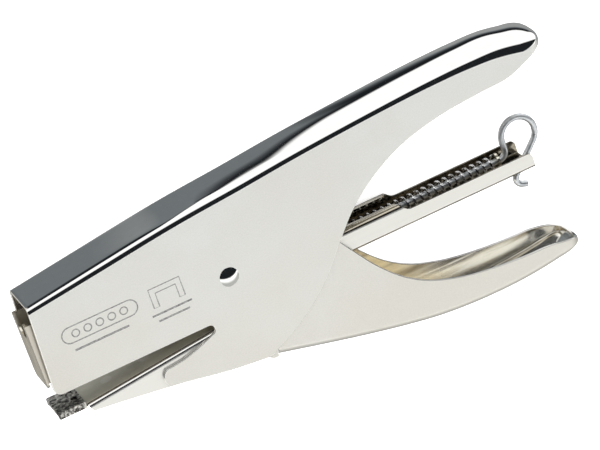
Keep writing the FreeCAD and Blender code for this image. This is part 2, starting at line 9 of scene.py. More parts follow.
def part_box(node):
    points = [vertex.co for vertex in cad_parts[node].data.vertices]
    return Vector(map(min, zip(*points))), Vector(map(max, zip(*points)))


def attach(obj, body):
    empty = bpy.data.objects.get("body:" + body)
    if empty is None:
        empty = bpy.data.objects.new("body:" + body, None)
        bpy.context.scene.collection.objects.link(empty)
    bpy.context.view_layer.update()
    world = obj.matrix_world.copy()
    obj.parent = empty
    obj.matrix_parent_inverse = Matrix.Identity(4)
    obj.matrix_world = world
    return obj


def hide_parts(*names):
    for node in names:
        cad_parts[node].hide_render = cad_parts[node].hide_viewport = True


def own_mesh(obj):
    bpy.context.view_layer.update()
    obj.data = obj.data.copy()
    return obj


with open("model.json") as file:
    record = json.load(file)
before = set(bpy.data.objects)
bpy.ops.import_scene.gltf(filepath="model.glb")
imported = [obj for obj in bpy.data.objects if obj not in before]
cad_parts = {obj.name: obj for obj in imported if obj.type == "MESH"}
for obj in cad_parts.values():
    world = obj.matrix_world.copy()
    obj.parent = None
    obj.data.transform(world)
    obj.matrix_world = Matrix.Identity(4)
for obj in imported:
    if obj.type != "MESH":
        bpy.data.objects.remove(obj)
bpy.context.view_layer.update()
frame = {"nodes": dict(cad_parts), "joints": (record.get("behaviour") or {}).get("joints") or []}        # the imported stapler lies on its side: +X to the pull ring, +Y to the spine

MM = 0.001
PIVOT = Vector(frame["joints"][0]["pos_m"])
NODES = frame["nodes"]

# Millimetres from the pivot's axis, and up from the lower side plate's outer face.
WIDTH = 20.0                # over the shell's side plates
MIDDLE = WIDTH / 2
SHEET = 1.0
HANDLE_HALF = 8.7           # half of the lower handle's width
ROLLED_EDGE = 0.22          # width of the folded sheets' rolled edge
ROLL_STEPS = 3
ROLL_ANGLE = 50             # degrees from which an edge counts as one of the sheet's
LARGE_FACES = 100           # percent: large faces alone decide how a rolled edge is shaded
# Material slots of a folded sheet: 0 is its outer web and 1 its outer plates. Its inside has the
# same two from slot 2 on, and its rim from slot 4 on.
PLATE_SLOT = 1
INSIDE_SLOT = 2
RIM_SLOT = 4


def place(x, y, z):
    """A point in millimetres from the pivot's axis, in the frame's metres."""
    return Vector((PIVOT.x + x * MM, PIVOT.y + y * MM, z * MM))


# ---- lines in the plane of the side plates ------------------------------------------------------
SAME_POINT = 0.001          # points nearer than this are one


def smooth(points, steps=8):
    """A dense line that runs smoothly through the points."""
    points = [Vector(p) for p in points]
    run = [points[0] * 2 - points[1]] + points + [points[-1] * 2 - points[-2]]
    line = []
    for a, b, c, d in zip(run, run[1:], run[2:], run[3:]):
        before, here, after = (b - a).length, (c - b).length, (d - c).length
        start = ((b - a) / before * here + (c - b) / here * before) / (before + here) * here
        end = ((c - b) / here * after + (d - c) / after * here) / (here + after) * here
        for k in range(steps):
            t = k / steps
            line.append(b * (2 * t ** 3 - 3 * t ** 2 + 1) + start * (t ** 3 - 2 * t ** 2 + t)
                        + c * (3 * t ** 2 - 2 * t ** 3) + end * (t ** 3 - t ** 2))
    return line + [points[-1]]


def arc(a, through, b, steps=8):
    """A dense line along the circle through three points."""
    a, through, b = Vector(a), Vector(through), Vector(b)
    p, q = through - a, b - a
    cross = 2 * (p.x * q.y - p.y * q.x)
    centre = a + Vector((q.y * p.length_squared - p.y * q.length_squared,
                         p.x * q.length_squared - q.x * p.length_squared)) / cross
    first = math.atan2(*(a - centre).yx)
    turn = math.atan2(*(b - centre).yx) - first
    turn %= math.copysign(2 * math.pi, cross)
    radius = (a - centre).length
    return [centre + radius * Vector((math.cos(first + turn * k / steps),
                                      math.sin(first + turn * k / steps)))
            for k in range(steps + 1)]


def level(line, x):
    """Height of a dense line at x, or of its nearer end where x is beyond it."""
    for a, b in zip(line, line[1:]):
        if min(a.x, b.x) <= x <= max(a.x, b.x) and a.x != b.x:
            return a.y + (b.y - a.y) * (x - a.x) / (b.x - a.x)
    return min(line[0], line[-1], key=lambda p: abs(p.x - x)).y


def chain(*lines):
    """One line through all of them. A point where two of them meet is kept once."""
    joined = list(lines[0])
    for line in lines[1:]:
        meets = (line[0] - joined[-1]).length < SAME_POINT
        joined += line[1:] if meets else line
    return joined


# ---- meshes -----------------------------------------------------------------------------------
def vertices(mesh, points):
    """Adds points in millimetres from the pivot's axis."""
    return [mesh.verts.new(place(*p)) for p in points]


def strip(mesh, a, b):
    """Faces between two rows of vertices."""
    return [mesh.faces.new((a[k], a[k + 1], b[k + 1], b[k])) for k in range(len(a) - 1)]


def tube(mesh, rings, closed=False):
    """Faces round a run of rings. The run is closed into a loop, or else its ends are capped."""
    pairs = list(zip(rings, rings[1:]))
    if closed:
        pairs.append((rings[-1], rings[0]))
    faces = [face for a, b in pairs for face in strip(mesh, a + a[:1], b + b[:1])]
    if not closed:
        mesh.faces.new(rings[0])
        mesh.faces.new(rings[-1][::-1])
    return faces


def to_object(mesh, name, *materials):
    """Turns the mesh into an object in the scene."""
    data = bpy.data.meshes.new(name)
    mesh.to_mesh(data)
    mesh.free()
    for material in materials:
        data.materials.append(material)
    obj = bpy.data.objects.new(name, data)
    bpy.context.scene.collection.objects.link(obj)
    return obj


# ---- folded channel with a closed, rounded end --------------------------------------------------
class Channel:
    """Sheet folded over a keel line, with two flat plates and a spoon-shaped closed end."""
    CROWN_STEPS, BEND_STEPS, SIDE_STEPS = 6, 12, 5
    STATIONS, NOSE_STATIONS = 120, 11
    NOSE_POWER = 3.0        # 2 closes the nose as an ellipse, and more makes it blunter

    def __init__(self, keel, rim, half, radius, arch, nose, end, up):
        """keel, radius and arch run along X. The nose begins at one x and is drawn in to the end."""
        self.keel, self.rim, self.half = smooth(keel), rim, half
        self.radius, self.arch = smooth(radius), smooth(arch)
        self.start, self.nose, self.end, self.up = keel[0][0], nose, Vector(end), up

    def section(self, x):
        """Half section at x as (distance from the middle, depth below the keel)."""
        radius = level(self.radius, x)
        tilt = math.radians(level(self.arch, x))
        reach = self.half - radius + radius * math.sin(tilt)
        crown = reach * math.tan(tilt) / 2
        points = [(reach * k / self.CROWN_STEPS, crown * (k / self.CROWN_STEPS) ** 2)
                  for k in range(self.CROWN_STEPS)]
        for k in range(self.BEND_STEPS + 1):
            angle = tilt + (math.pi / 2 - tilt) * k / self.BEND_STEPS
            points.append((self.half - radius + radius * math.sin(angle),
                           crown + radius * (math.cos(tilt) - math.cos(angle))))
        return points

    def row(self, x):
        """Whole curved strip across the channel at x, from one plate to the other."""
        half = [(u, level(self.keel, x) - self.up * depth) for u, depth in self.section(x)]
        return ([(x, y, MIDDLE + u) for u, y in reversed(half)]
                + [(x, y, MIDDLE - u) for u, y in half[1:]])

    def side(self, z):
        """Points down one plate where the nose begins, after the bend, to the rim."""
        top = level(self.keel, self.nose) - self.up * self.section(self.nose)[-1][1]
        low = level(self.rim, self.nose)
        return [(self.nose, top + (low - top) * (k + 1) / self.SIDE_STEPS, z)
                for k in range(self.SIDE_STEPS)]

    def build(self, name, outline):
        """outline: the plate's free edge, from the strip's start round to the nose."""
        mesh = bmesh.new()
        length = self.nose - self.start
        rows = [vertices(mesh, self.row(self.start + length * k / self.STATIONS))
                for k in range(self.STATIONS + 1)]
        near = vertices(mesh, self.side(MIDDLE + self.half))
        far = vertices(mesh, self.side(MIDDLE - self.half))
        for a, b in zip(rows, rows[1:]):
            strip(mesh, a, b)
        for z, edge, side in ((MIDDLE + self.half, 0, near), (MIDDLE - self.half, -1, far)):
            free = vertices(mesh, [(p[0], p[1], z) for p in outline])
            plate = mesh.faces.new([row[edge] for row in rows] + side + free[::-1])
            plate.material_index = PLATE_SLOT
        self.close_nose(mesh, near[::-1] + rows[-1] + far)
        bmesh.ops.recalc_face_normals(mesh, faces=mesh.faces)
        halfway = (self.start + self.nose) / 2
        crest = place(halfway, level(self.keel, halfway), MIDDLE)
        top_face = min(mesh.faces, key=lambda f: (f.calc_center_median() - crest).length)
        if top_face.normal.y * self.up < 0:
            bmesh.ops.reverse_faces(mesh, faces=mesh.faces)
        obj = to_object(mesh, name)
        obj.data.shade_smooth()
        return obj

    def close_nose(self, mesh, last):
        """Carries the last section on to the end point, ever smaller, and closes it there."""
        top, low = level(self.keel, self.nose), level(self.rim, self.nose)
        slope_top = top - level(self.keel, self.nose - 1)
        slope_low = low - level(self.rim, self.nose - 1)
        before = last
        for i in range(1, self.NOSE_STATIONS):
            t = math.sin(math.pi / 2 * i / self.NOSE_STATIONS)
            x = self.nose + (self.end.x - self.nose) * t
            shrink = (1 - t ** self.NOSE_POWER) ** (1 / self.NOSE_POWER)
            y_top = self.end.y + (top + slope_top * (x - self.nose) - self.end.y) * shrink
            y_low = self.end.y + (low + slope_low * (x - self.nose) - self.end.y) * shrink
            now = []
            for v in last:
                share = (top - (v.co.y - PIVOT.y) / MM) / (top - low)
                now.append((x, y_top + (y_low - y_top) * share,
                            MIDDLE + (v.co.z / MM - MIDDLE) * shrink))
            now = vertices(mesh, now)
            faces = strip(mesh, before, now)
            for face in faces[:self.SIDE_STEPS] + faces[-self.SIDE_STEPS:]:
                face.material_index = PLATE_SLOT
            before = now
        mesh.faces.new(before)


def thicken(obj):
    """Gives a skin the sheet's thickness on its inner side, with bright rolled edges."""
    solid = obj.modifiers.new("sheet", "SOLIDIFY")
    solid.thickness = SHEET * MM
    solid.offset = -1
    solid.use_even_offset = False
    solid.material_offset = INSIDE_SLOT
    solid.material_offset_rim = RIM_SLOT
    soften = obj.modifiers.new("edges", "BEVEL")
    soften.width = ROLLED_EDGE * MM
    soften.segments = ROLL_STEPS
    soften.limit_method = "ANGLE"
    soften.angle_limit = math.radians(ROLL_ANGLE)
    soften.use_clamp_overlap = False
    soften.material = RIM_SLOT
    shade = obj.modifiers.new("shading", "WEIGHTED_NORMAL")
    shade.keep_sharp = False
    shade.weight = LARGE_FACES


# ---- camera -------------------------------------------------------------------------------------
CAMERA_RIGHT = Vector((0.8879, -0.3056, 0.3439))
CAMERA_UP = Vector((0.4114, 0.8620, -0.2962))
CAMERA_AT = (-199.2, 448.36, 994.97)
LENS = 216.0
SENSOR = 36.0
CLIP = (0.05, 20.0)


def camera():
    data = bpy.data.cameras.new("camera")
    data.sensor_width = SENSOR
    data.lens = LENS
    data.clip_start, data.clip_end = CLIP
    eye = bpy.data.objects.new("camera", data)
    bpy.context.scene.collection.objects.link(eye)
    axes = Matrix((CAMERA_RIGHT, CAMERA_UP, CAMERA_RIGHT.cross(CAMERA_UP)))
    eye.matrix_world = Matrix.Translation(place(*CAMERA_AT)) @ axes.transposed().to_4x4()
    bpy.context.scene.camera = eye


# ---- materials ----------------------------------------------------------------------------------
CHROME = (0.93, 0.93, 0.92)
NICKEL = (0.86, 0.86, 0.84)
WARM_NICKEL = (0.81, 0.79, 0.73)
GRAIN_TONE = (0.6, 0.6, 0.6)
RIM_NICKEL = (0.90, 0.89, 0.86)
DULL_NICKEL = (0.80, 0.78, 0.72)        # inside the shell
ARM_WEB = (0.95, 0.91, 0.76)
ARM_SIDE = (0.85, 0.84, 0.80)
# The bend tones are painted highlights, lighter than their sheet's web and plates.
BEND_HIGHLIGHT = (0.92, 0.91, 0.88)
BEIGE_WEB = (0.74, 0.67, 0.54)
BEIGE_SIDE = (0.70, 0.66, 0.58)
# painted highlight on the beige sheets' bends
BEIGE_BEND_HIGHLIGHT = (0.86, 0.82, 0.72)
RIVET_STEEL = (0.95, 0.91, 0.80)
BLADE_STEEL = (0.62, 0.58, 0.50)
MAGAZINE_WALL = (0.84, 0.83, 0.79)
# brown inside the channel, darkened as painted shade, darkest in uneven patches
TROUGH_SHADE = (0.50, 0.46, 0.38)
TROUGH_DEEP_SHADE = (0.16, 0.14, 0.11)
LIP = (0.90, 0.87, 0.78)
LIP_MARKS = (0.52, 0.47, 0.37)
GOLD = (0.98, 0.86, 0.56)
SILVER = (0.90, 0.89, 0.85)
LINING_STREAK = (0.40, 0.35, 0.25)
SCALE_DARK = (0.07, 0.065, 0.06)
SCALE_RUBBED = (0.85, 0.83, 0.78)
WIRE = (0.90, 0.91, 0.94)
WIRE_DARK_PATCH = (0.20, 0.19, 0.18)
ZINC = (0.80, 0.82, 0.84)
ZINC_EDGE = (0.60, 0.63, 0.66)
# painted shade in the grooves between staples
STAPLE_GROOVE_SHADE = (0.45, 0.43, 0.40)
STAPLE_WIRE = (0.88, 0.87, 0.84)
MARK = (0.10, 0.10, 0.10)
MARK_WORN = (0.42, 0.42, 0.41)
FLOOR_TONES = (0.93, 0.93, 0.93), (0.95, 0.95, 0.95)
WEB_SHADE = 0.72                # of a web's tone, in its darker patches
CLOUD = 0.35                    # how far the patches shift a change of tone, each way
SCRATCH = 0.02                  # roughness that the scratches add
GRAIN_DEPTH = 0.12              # share of the grain's own tone
GRAIN_ROUGHNESS = (-0.06, 0.10)

# Places in millimetres from the pivot, and from the middle plane for the magazine's wall.
WARM_FALL = (-45, 30)           # height over which the satin turns from warm to neutral
WALL_FACE = (7.15, 7.28)
LIP_HEIGHT = (-4.6, -4.0)
GOLD_FADE = (52, 76)
# How far the normal leans towards Z, from the web to the bend and from the bend to the plate.
WEB_TO_BEND = (0.10, 0.30)
BEND_TO_PLATE = (0.90, 0.98)


class Finish:
    """A material's node tree with short calls to add nodes to it."""

    def __init__(self, name):
        self.material = bpy.data.materials.new(name)
        self.material.use_nodes = True
        self.tree = self.material.node_tree
        self.tree.nodes.clear()
        output = self.tree.nodes.new("ShaderNodeOutputMaterial")
        self.shader = self.tree.nodes.new("ShaderNodeBsdfPrincipled")
        self.tree.links.new(self.shader.outputs[0], output.inputs[0])
        self.where = self.tree.nodes.new("ShaderNodeTexCoord").outputs["Object"]

    def set(self, **values):
        for key, value in values.items():
            self.shader.inputs[key.replace("_", " ")].default_value = value

    def node(self, kind, inputs=(), **options):
        node = self.tree.nodes.new(kind)
        for key, value in options.items():
            setattr(node, key, value)
        for key, value in dict(inputs).items():
            if isinstance(value, bpy.types.NodeSocket):
                self.tree.links.new(value, node.inputs[key])
            else:
                node.inputs[key].default_value = value
        return node

    def noise(self, scale, detail=3.0, stretch=(1, 1, 1), rough=0.55):
        """Noise with features 1 / scale metres wide. A stretch below 1 draws them out on its axis."""
        moved = self.node("ShaderNodeMapping", {"Vector": self.where, "Scale": stretch})
        made = self.node("ShaderNodeTexNoise", {"Vector": moved.outputs[0], "Scale": scale,
                                                "Detail": detail, "Roughness": rough})
        return made.outputs["Fac"]

    def spread(self, value, low=0.0, high=1.0, at=(0.3, 0.7)):
        """Value from low to high, as the input goes over the two limits of at."""
        made = self.node("ShaderNodeMapRange", {"Value": value, "From Min": at[0],
                                                "From Max": at[1], "To Min": low, "To Max": high})
        return made.outputs[0]

    def axis(self, vector, name):
        return self.node("ShaderNodeSeparateXYZ", {"Vector": vector}).outputs[name]

    def maths(self, operation, first, second=0.0, clamp=False):
        return self.node("ShaderNodeMath", {0: first, 1: second}, operation=operation,
                         use_clamp=clamp).outputs[0]

    def mix(self, value, first, second, blend_type="MIX"):
        """Colour between the first and the second, each a tone or another node's output."""
        mixed = self.node("ShaderNodeMix", data_type="RGBA", blend_type=blend_type)
        self.tree.links.new(value, mixed.inputs["Factor"])
        for socket, tone in ((mixed.inputs["A"], first), (mixed.inputs["B"], second)):
            if isinstance(tone, bpy.types.NodeSocket):
                self.tree.links.new(tone, socket)
            else:
                socket.default_value = (*tone, 1)
        return mixed.outputs["Result"]

    def link(self, value, name):
        self.tree.links.new(value, self.shader.inputs[name])

    def bump(self, value, height):
        """Bump whose full range is a height in metres."""
        bumped = self.node("ShaderNodeBump", {"Height": value, "Distance": height})
        self.link(bumped.outputs[0], "Normal")


def polished(name, colour=CHROME, roughness=0.02, shade=0.96, metallic=1.0, ripple=6e-6):
    """Bright plating: faint haze, fine scratches along X and a slight ripple."""
    finish = Finish(name)
    finish.set(Metallic=metallic)
    haze = finish.spread(finish.noise(400, detail=5))
    finish.link(finish.mix(haze, colour, tuple(c * shade for c in colour)), "Base Color")
    scratch = finish.noise(1500, detail=2, stretch=(0.05, 1, 1))
    finish.link(finish.spread(scratch, roughness, roughness + SCRATCH), "Roughness")
    finish.bump(finish.noise(90, detail=2), ripple)
    return finish.material


def satin(name, roughness=0.40):
    """Pearl nickel plating: very fine grain, warmer towards the lower handle."""
    finish = Finish(name)
    finish.set(Metallic=1.0)
    fall = finish.spread(finish.axis(finish.where, "Y"), 1.0, 0.0,
                         [PIVOT.y + y * MM for y in WARM_FALL])
    cloud = finish.spread(finish.noise(30, detail=5), -CLOUD, CLOUD)
    plating = finish.mix(finish.maths("ADD", fall, cloud, clamp=True), NICKEL, WARM_NICKEL)
    grain = finish.noise(2200)
    grained = finish.mix(finish.spread(grain, 0.0, GRAIN_DEPTH), plating, GRAIN_TONE,
                         blend_type="MULTIPLY")
    finish.link(grained, "Base Color")
    limits = [roughness + more for more in GRAIN_ROUGHNESS]
    finish.link(finish.spread(grain, *limits), "Roughness")
    finish.bump(grain, 3e-5)
    return finish.material


def zoned_sheet(name, web, side, bend=BEND_HIGHLIGHT, web_roughness=0.30, side_roughness=0.36,
                bend_roughness=0.06, web_metallic=1.0):
    """Folded plated sheet: dull web, satin plates, and polished bends lightened with painted
    highlight.
    """
    finish = Finish(name)
    normal = finish.node("ShaderNodeNewGeometry").outputs["Normal"]
    lean = finish.maths("ABSOLUTE", finish.axis(normal, "Z"))
    finish.link(finish.spread(lean, web_metallic, 1.0, WEB_TO_BEND), "Metallic")
    tone = finish.spread(finish.noise(140, detail=5, stretch=(0.3, 1, 1)))
    across = finish.mix(tone, web, tuple(c * WEB_SHADE for c in web))
    # painted highlight: the bends take a lighter tone than the web
    over = finish.mix(finish.spread(lean, at=WEB_TO_BEND), across, bend)
    finish.link(finish.mix(finish.spread(lean, at=BEND_TO_PLATE), over, side), "Base Color")
    first = finish.spread(lean, web_roughness, bend_roughness, WEB_TO_BEND)
    last = finish.spread(lean, 0.0, side_roughness - bend_roughness, BEND_TO_PLATE)
    finish.link(finish.maths("ADD", first, last), "Roughness")
    finish.bump(finish.noise(900, stretch=(0.15, 1, 1)), 1.5e-5)
    return finish.material


def magazine_sheet(name):
    """Magazine: satin outer walls, bright lips with draw marks, and a brown trough with painted
    shade.
    """
    finish = Finish(name)
    finish.set(Metallic=1.0)
    across = finish.maths("SUBTRACT", finish.axis(finish.where, "Z"), MIDDLE * MM)
    outer = finish.spread(finish.maths("ABSOLUTE", across), at=[z * MM for z in WALL_FACE])
    lip = finish.spread(finish.axis(finish.where, "Y"), at=[PIVOT.y + y * MM for y in LIP_HEIGHT])
    # painted shade inside the channel, deepest in uneven patches
    shade_patches = finish.spread(finish.noise(500, detail=4, stretch=(0.25, 1, 1)), at=(0.35, 0.62))
    marks = finish.spread(finish.noise(900, detail=4, stretch=(0.03, 1, 1)))
    within = finish.mix(lip, finish.mix(shade_patches, TROUGH_SHADE, TROUGH_DEEP_SHADE), finish.mix(marks, LIP, LIP_MARKS))
    finish.link(finish.mix(outer, within, MAGAZINE_WALL), "Base Color")
    finish.link(finish.spread(outer, 0.10, 0.34, at=(0.0, 1.0)), "Roughness")
    finish.bump(marks, 1e-5)
    return finish.material


def handle_lining(name):
    """Bright inside of the lower handle: golden at the pivot, silver at the tip, with streaks."""
    finish = Finish(name)
    along = finish.spread(finish.axis(finish.where, "X"), at=[PIVOT.x + x * MM for x in GOLD_FADE])
    cloud = finish.spread(finish.noise(45, detail=4, stretch=(0.35, 1, 1)), -CLOUD, CLOUD)
    tone = finish.mix(finish.maths("ADD", along, cloud, clamp=True), GOLD, SILVER)
    finish.link(finish.spread(along, 0.30, 0.96, at=(0.0, 1.0)), "Metallic")
    streak = finish.spread(finish.noise(260, detail=4, stretch=(0.10, 1, 1)), at=(0.50, 0.72))
    finish.link(finish.mix(streak, tone, LINING_STREAK), "Base Color")
    finish.link(finish.spread(finish.noise(300, stretch=(0.2, 1, 1)), 0.05, 0.12), "Roughness")
    finish.bump(finish.noise(160, stretch=(0.12, 1, 1)), 1e-5)
    return finish.material


def hardened(name):
    """Dark heat-treated steel with a pitted, rubbed face."""
    finish = Finish(name)
    finish.set(Metallic=1.0)
    blotch = finish.noise(700, detail=6, rough=0.7)
    rubbed = finish.spread(blotch, at=(0.44, 0.60))
    finish.link(finish.mix(rubbed, SCALE_DARK, SCALE_RUBBED), "Base Color")
    finish.link(finish.spread(blotch, 0.22, 0.45), "Roughness")
    finish.bump(blotch, 2.5e-4)
    return finish.material


def spring_wire(name):
    """Bright hard-drawn wire, mottled with random dark patches."""
    finish = Finish(name)
    finish.set(Metallic=1.0)
    dark_patches = finish.spread(finish.noise(700, detail=4), at=(0.42, 0.62))
    finish.link(finish.mix(dark_patches, WIRE, WIRE_DARK_PATCH), "Base Color")
    finish.link(finish.spread(finish.noise(1500, detail=2), 0.05, 0.16), "Roughness")
    finish.bump(finish.noise(1200), 1e-5)
    return finish.material


def galvanised(name):
    """Zinc-coated wire: light blue grey, mottled and a little rough."""
    finish = Finish(name)
    finish.set(Metallic=1.0)
    spangle = finish.node("ShaderNodeTexVoronoi", {"Vector": finish.where, "Scale": 900.0})
    finish.link(finish.mix(spangle.outputs["Distance"], ZINC, ZINC_EDGE), "Base Color")
    finish.link(finish.spread(finish.noise(800, detail=4), 0.25, 0.45), "Roughness")
    finish.bump(finish.noise(1100, detail=4), 8e-5)
    return finish.material


def staple_rows(name):
    """Bright wire staples glued side by side: a fine groove between neighbours, with painted shade.
    """
    finish = Finish(name)
    finish.set(Metallic=1.0)
    rows = finish.node("ShaderNodeTexWave", {"Vector": finish.where, "Scale": 318.0,
                                             "Distortion": 0.0}, bands_direction="X")
    # painted shade: each staple darkens towards the grooves beside it
    finish.link(finish.mix(rows.outputs["Fac"], STAPLE_GROOVE_SHADE, STAPLE_WIRE), "Base Color")
    finish.link(finish.spread(finish.noise(900), 0.16, 0.30), "Roughness")
    finish.bump(rows.outputs["Fac"], 1.2e-4)
    return finish.material


def etched(name):
    """Matt dark marking, slightly worn."""
    finish = Finish(name)
    finish.set(Metallic=0.6)
    worn = finish.spread(finish.noise(1500, detail=4))
    finish.link(finish.mix(worn, MARK, MARK_WORN), "Base Color")
    finish.link(finish.spread(worn, 0.45, 0.6), "Roughness")
    return finish.material


def plain_floor():
    finish = Finish("floor_pale")
    finish.link(finish.mix(finish.noise(3, detail=2), *FLOOR_TONES), "Base Color")
    finish.set(Roughness=0.9, Emission_Color=(1, 1, 1, 1), Emission_Strength=0.5)
    return finish.material


def dress(material, *names):
    """Gives the CAD nodes the material in place of their own."""
    for name in names:
        data = NODES[name].data
        data.materials.clear()
        data.materials.append(material)


# ---- studio -------------------------------------------------------------------------------------
GROUND_HALF = 3.0
WHITE_STRENGTH = 2.0
BLACK = (0.012, 0.014, 0.016)
DARK = (0.060, 0.065, 0.072)
SLATE = (0.165, 0.182, 0.190)
PALE = (0.32, 0.33, 0.33)
GREY = (0.50, 0.50, 0.48)
LIGHT = (1.12, 1.12, 1.11)
OVERHEAD = (1.30, 1.30, 1.27)
# The studio is seen in reflections only. Angles run from +Y up through +Z, in degrees. A white
# panel begins at an edge that moves with how far towards +X the reflection goes.
EDGE_FRONT = ((0.01, 0.11), (2, -61))       # reflection towards +X, then the edge's angle
EDGE_REAR = ((0.118, 0.16), (0, -3.6))      # added to it further back
SHADE_SPREAD = ((0.01, 0.11), (1, 18))      # how much tighter the dark side of the edge gets
REAR_SHADE = (0.15, 0.18)                   # where the rear's dark side takes over
EDGE_SOFTNESS = 1.2
FRONT_CARD = (0.74, 0.72, 0.68)             # pale card ahead of the jaw
FRONT = (-0.24, -0.12)                      # where the card gives way to the dark side
ABOVE_EDGE = ((-180, LIGHT), (42, LIGHT), (48, BLACK), (106, BLACK), (114, OVERHEAD),
              (128, OVERHEAD), (150, GREY), (180, GREY))
# by angle from the edge
BELOW_FRONT = ((-400, PALE), (-300, SLATE), (-72, SLATE), (-48, DARK), (-28, BLACK),
               (0, BLACK))
BELOW_REAR = ((-180, GREY), (-60, PALE), (-14, PALE), (-11, SLATE), (-8.5, DARK), (-5.5, BLACK),
              (0, BLACK))


def studio():
    mesh = bpy.data.meshes.new("floor")
    corners = [(x * GROUND_HALF, y * GROUND_HALF, 0) for x, y in ((-1, -1), (1, -1), (1, 1), (-1, 1))]
    mesh.from_pydata(corners, [], [(0, 1, 2, 3)])
    mesh.materials.append(plain_floor())
    ground = bpy.data.objects.new("floor", mesh)
    bpy.context.scene.collection.objects.link(ground)
    ground.visible_glossy = False

    world = bpy.data.worlds.new("studio")
    bpy.context.scene.world = world
    world.use_nodes = True
    tree = world.node_tree
    tree.nodes.clear()

    def node(kind, *inputs, **options):
        made = tree.nodes.new(kind)
        for key, value in options.items():
            setattr(made, key, value)
        for socket, value in zip(made.inputs, inputs):
            if isinstance(value, bpy.types.NodeSocket):
                tree.links.new(value, socket)
            elif value is not None:
                socket.default_value = value
        return made

    def ramp(value, stops):
        """Colour ramp over a value that runs from the first stop's place to the last one's."""
        low, high = stops[0][0], stops[-1][0]
        share = node("ShaderNodeMapRange", value, low, high, 0.0, 1.0)
        made = node("ShaderNodeValToRGB", share.outputs[0])
        elements = made.color_ramp.elements
        elements[0].position, elements[1].position = 0.0, 1.0
        for spot, _ in stops[1:-1]:
            elements.new((spot - low) / (high - low))
        for element, (_, tone) in zip(elements, stops):
            element.color = (*tone, 1)
        return made.outputs[0]

    def across(value, between, to=(0.0, 1.0), **options):
        return node("ShaderNodeMapRange", value, *between, *to, **options).outputs[0]

    def maths(operation, *values):
        return node("ShaderNodeMath", *values, operation=operation).outputs[0]

    def blend(factor, first, second):
        made = node("ShaderNodeMix", data_type="RGBA")
        for socket, value in (("Factor", factor), ("A", first), ("B", second)):
            tree.links.new(value, made.inputs[socket])
        return made.outputs["Result"]

    def tone(colour):
        made = node("ShaderNodeRGB")
        made.outputs[0].default_value = (*colour, 1)
        return made.outputs[0]

    where = node("ShaderNodeTexCoord")
    split = node("ShaderNodeSeparateXYZ", where.outputs["Generated"])
    along = split.outputs["X"]
    angle = maths("MULTIPLY", maths("ARCTAN2", split.outputs["Z"], split.outputs["Y"]), 180 / math.pi)
    edge = maths("ADD", across(along, *EDGE_FRONT), across(along, *EDGE_REAR))
    past = maths("SUBTRACT", angle, edge)
    below = blend(across(along, REAR_SHADE, interpolation_type="SMOOTHSTEP"),
                  ramp(maths("MULTIPLY", past, across(along, *SHADE_SPREAD)), BELOW_FRONT),
                  ramp(past, BELOW_REAR))
    below = blend(across(along, FRONT), tone(FRONT_CARD), below)
    panels = blend(across(past, (-EDGE_SOFTNESS, EDGE_SOFTNESS), interpolation_type="SMOOTHSTEP"),
                   below, ramp(angle, ABOVE_EDGE))
    seen = node("ShaderNodeBackground", panels, 1.0)
    white = node("ShaderNodeBackground", (1, 1, 1, 1), WHITE_STRENGTH)
    path = node("ShaderNodeLightPath")
    either = node("ShaderNodeMixShader", path.outputs["Is Glossy Ray"], white.outputs[0],
                  seen.outputs[0])
    node("ShaderNodeOutputWorld", either.outputs[0])
    bpy.context.scene.view_settings.view_transform = "Standard"


# ---- upper shell --------------------------------------------------------------------------------
SPINE = ((-61.4, 18.2), (-36.5, 21.6), (-12, 24.8), (13, 27.2), (33, 29.2), (57, 31.2),
         (80, 32.8), (94, 33.4), (104, 33.4), (112.5, 32.0))
SPINE_RADIUS = ((-62, 2.0), (-36, 2.4), (13, 2.5), (40, 2.5), (62, 2.6), (80, 3.0), (89, 3.3),
                (98, 3.9), (105, 4.6), (120, 4.8))
SPINE_ARCH = ((-62, 0.3), (0, 0.5), (13, 2.0), (27, 2.3), (35, 3.0), (45, 4.5), (62, 6.5),
              (80, 8.0), (89, 9.5), (98, 11.0), (120, 14.0))     # degrees at the bend
SHELL_NOSE = 110.5
SHELL_TIP = (118.3, 27.8)
NOSE_GAP = 0.3              # how far short of the nose a plate's free edge stops
# The plate's free edge: a corner is the three points of an arc.
JAW_CORNER = ((-62.6, -9.3), (-61.9, -11.3), (-59.6, -12.1))
THROAT_CORNER = ((-11.2, -12.1), (-9.7, -13.7), (-10.8, -15.1))
TONGUE = ((-10.8, -15.1), (-16, -17.0), (-22, -18.7), (-28.3, -19.4))
TONGUE_CORNER = ((-28.3, -19.4), (-29.8, -21.8), (-29.2, -24.8))
UNDERSIDE = ((-29.2, -24.8), (-6.6, -29.2), (3.6, -30.4))
HEEL_CORNER = ((3.6, -30.4), (4.9, -30.3), (5.8, -29.6))
GRIP = ((5.8, -29.6), (16, -24.3), (24, -18.6), (30.5, -12.3), (36.2, -5.2), (43.4, 2.9),
        (52.2, 9.8), (63.8, 15.6), (78.9, 19.3), (93.2, 20.6), (104, 21.4), (112.6, 24.6))


def upper_shell():
    grip = smooth(GRIP)
    channel = Channel(SPINE, grip, MIDDLE, SPINE_RADIUS, SPINE_ARCH, SHELL_NOSE, SHELL_TIP, up=1)
    outline = chain(arc(*JAW_CORNER), arc(*THROAT_CORNER), smooth(TONGUE), arc(*TONGUE_CORNER),
                    smooth(UNDERSIDE), arc(*HEEL_CORNER),
                    [p for p in grip if p.x < SHELL_NOSE - NOSE_GAP])
    return channel.build("shell_sheet", outline)


